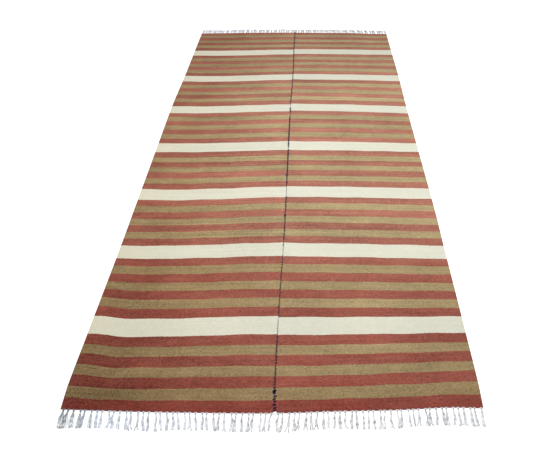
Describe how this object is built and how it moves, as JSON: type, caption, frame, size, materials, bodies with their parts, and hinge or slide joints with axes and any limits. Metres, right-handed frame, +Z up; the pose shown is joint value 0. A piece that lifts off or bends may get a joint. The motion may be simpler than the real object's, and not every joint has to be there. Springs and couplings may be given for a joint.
{
  "type": "kilim rug",
  "caption": "Flat-woven striped floor rug of long panels laced edge to edge along a centre seam, with knotted warp fringes at both ends.",
  "frame": {"origin": "middle of the rug's footprint, on the floor", "axes": "+X across the width to the right, +Y along the length to the far end, +Z up"},
  "size_m": [1.537, 3.3307, 0.006],
  "materials": {
    "woven_wool": "matte weft-faced wool in red, khaki and cream stripes",
    "warp_yarn": "matte white cotton warp ends",
    "seam_yarn": "matte dark blue sewing yarn along the middle seam"
  },
  "bodies": {
    "root": {"panel_left": "woven_wool", "panel_right": "woven_wool", "fringe_near_left": "warp_yarn", "fringe_near_right": "warp_yarn", "fringe_far_left": "warp_yarn", "fringe_far_right": "warp_yarn"}
  },
  "joints": []
}
